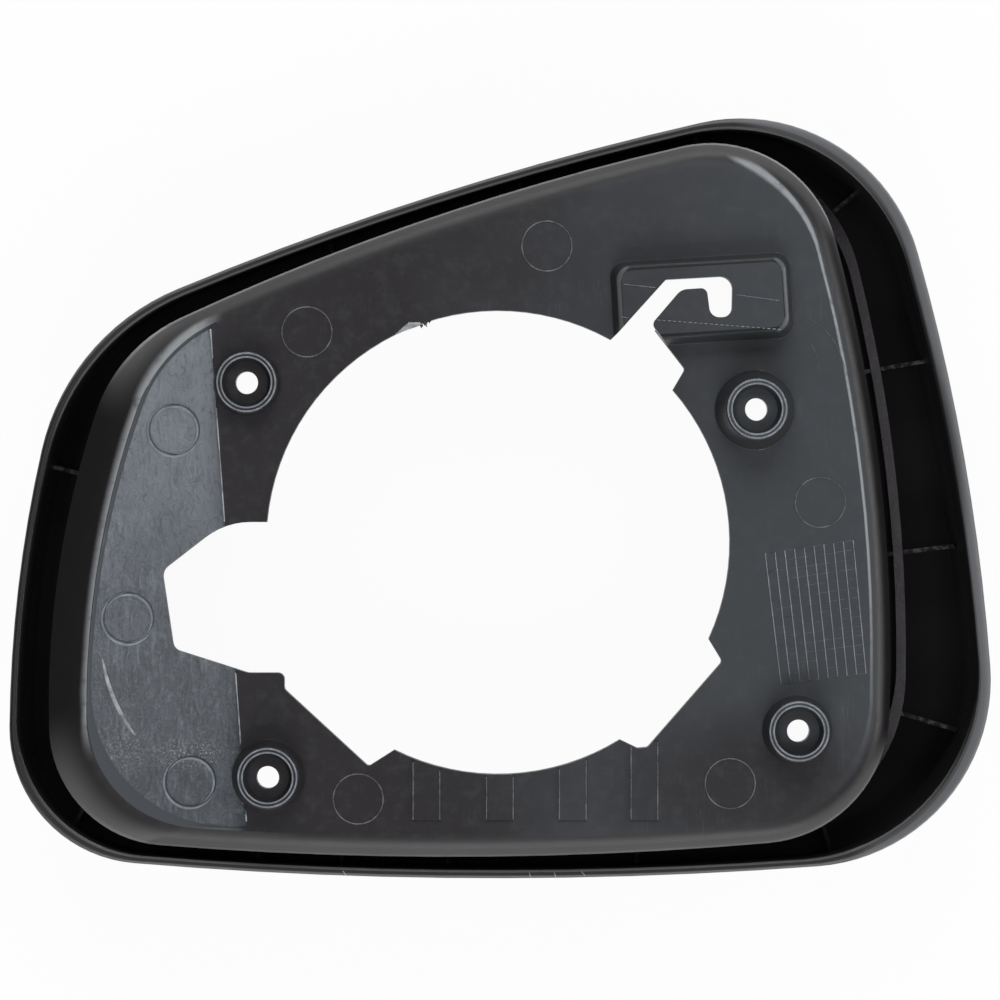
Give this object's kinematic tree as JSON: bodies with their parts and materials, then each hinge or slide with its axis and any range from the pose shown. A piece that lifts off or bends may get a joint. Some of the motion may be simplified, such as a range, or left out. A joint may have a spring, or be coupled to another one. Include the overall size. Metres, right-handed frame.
{
  "type": "mirror cover",
  "caption": "Inner frame of a car door mirror cover: skirted rim, shouldered plate with a large round opening, raised screw bosses and a hooked slot in a raised pad.",
  "frame": {"origin": "middle of the bounding box on the plane of the front lip, on which the frame rests", "axes": "+X to the wide end, +Y to the high side, +Z from the front lip to the back, where the screw bosses stand"},
  "size_m": [0.2376, 0.1842, 0.037],
  "materials": {
    "black_plastic": "black moulded plastic, satin plate and groove, etched grain at the narrow end, light scratches"
  },
  "bodies": {
    "root": {"mirror_frame": "black_plastic"}
  },
  "joints": []
}
